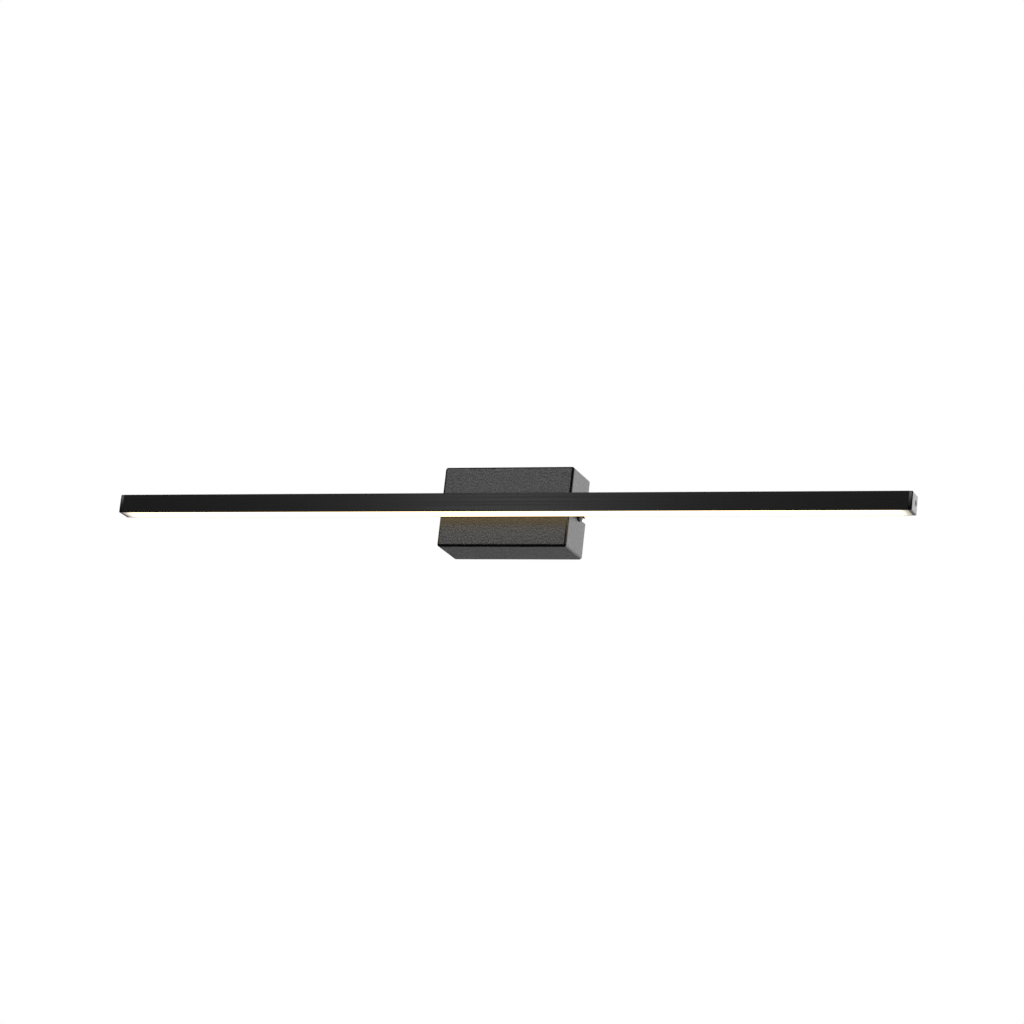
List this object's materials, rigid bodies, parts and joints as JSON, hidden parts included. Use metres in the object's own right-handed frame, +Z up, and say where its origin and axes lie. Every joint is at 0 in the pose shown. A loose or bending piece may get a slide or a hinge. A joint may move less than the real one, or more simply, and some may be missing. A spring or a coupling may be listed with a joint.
{
  "type": "vanity light bar",
  "caption": "Long square black light bar with an opal diffuser underneath, bolted to a rectangular wall canopy that slides off a wall bracket.",
  "frame": {"origin": "on the wall, at the centre of the canopy and midway between the two wall box screws", "axes": "+X along the bar, +Y into the wall, +Z up; the front faces -Y"},
  "size_m": [0.8, 0.062, 0.0784],
  "materials": {
    "black_powder_coat": "black powder coat with a fine sand texture, on sheet steel",
    "black_anodised": "black anodised extruded aluminium with faint lengthwise die lines",
    "black_cap": "satin black painted die casting",
    "black_screw": "black zinc-plated steel screw",
    "opal_diffuser": "co-extruded opal polycarbonate, lit warm white from behind",
    "zinc_steel": "bright zinc-plated steel",
    "plated_screw": "nickel-plated steel with a knurled head",
    "green_steel": "green dyed zinc-plated earth screw",
    "black_nylon": "moulded black nylon",
    "black_rubber": "black rubber grommet",
    "grey_foam": "grey double-sided foam tape",
    "white_plastic": "moulded white polycarbonate",
    "green_board": "glass-fibre circuit board with green solder mask",
    "black_core": "black ferrite and moulded packages",
    "can_aluminium": "aluminium capacitor cans",
    "brass": "plain brass clamps and tinned ring",
    "brown_lead": "brown insulated lead",
    "blue_lead": "blue insulated lead",
    "green_lead": "green and yellow insulated earth lead",
    "red_lead": "red silicone lead",
    "black_lead": "black silicone lead",
    "white_tape": "white thermal tape",
    "white_board": "aluminium board with white solder mask",
    "light_chip": "warm white light-emitting chips with yellow phosphor"
  },
  "bodies": {
    "wall_bracket": {"wall_bracket": "zinc_steel", "side_clinch_nuts": "zinc_steel", "cable_bushing": "black_nylon", "bracket_earth_screw": "green_steel", "bracket_earth_washer": "zinc_steel"},
    "light_body": {"canopy_cover": "black_powder_coat", "weld_studs": "zinc_steel", "stud_nuts": "zinc_steel", "driver_foam_pad": "grey_foam", "driver_case": "white_plastic", "driver_lid": "white_plastic", "driver_board": "green_board", "driver_transformer": "black_core", "driver_capacitors": "can_aluminium", "driver_chips": "black_core", "terminal_block": "white_plastic", "terminal_clamps": "brass", "terminal_screws": "zinc_steel", "live_lead": "brown_lead", "neutral_lead": "blue_lead", "earth_lead": "green_lead", "earth_ring_terminal": "brass", "led_lead_positive": "red_lead", "led_lead_negative": "black_lead", "lead_grommet": "black_rubber", "bar_fixing_screws": "zinc_steel", "bar_fixing_washers": "zinc_steel", "bar_nut_plates": "zinc_steel", "bar_profile": "black_anodised", "diffuser": "opal_diffuser", "thermal_tape": "white_tape", "led_board": "white_board", "led_chips": "light_chip", "end_cap_left": "black_cap", "end_cap_right": "black_cap", "end_cap_screws": "black_screw"},
    "thumb_washer_left": {"thumb_washer_left": "black_nylon"},
    "thumb_washer_right": {"thumb_washer_right": "black_nylon"},
    "thumb_screw_left": {"thumb_screw_left": "plated_screw"},
    "thumb_screw_right": {"thumb_screw_right": "plated_screw"}
  },
  "joints": [
    {"name": "canopy_slide", "type": "slide", "parent": "wall_bracket", "child": "light_body", "axis": [0, -1, 0], "range_m": [0, 0.05]},
    {"name": "washer_slide_left", "type": "slide", "parent": "wall_bracket", "child": "thumb_washer_left", "axis": [-1, 0, 0], "range_m": [0, 0.0042]},
    {"name": "washer_slide_right", "type": "slide", "parent": "wall_bracket", "child": "thumb_washer_right", "axis": [1, 0, 0], "range_m": [0, 0.0042]},
    {"name": "thumb_screw_turn_left", "type": "hinge", "parent": "thumb_washer_left", "child": "thumb_screw_left", "pos_m": [-0.066, -0.017, 0], "axis": [-1, 0, 0], "range_deg": [0, 2160]},
    {"name": "thumb_screw_turn_right", "type": "hinge", "parent": "thumb_washer_right", "child": "thumb_screw_right", "pos_m": [0.066, -0.017, 0], "axis": [1, 0, 0], "range_deg": [0, 2160]}
  ],
  "couplings": [
    {"joint": "thumb_screw_turn_left", "follows": "washer_slide_left", "rad_per_m": 8976},
    {"joint": "thumb_screw_turn_right", "follows": "washer_slide_right", "rad_per_m": 8976}
  ]
}
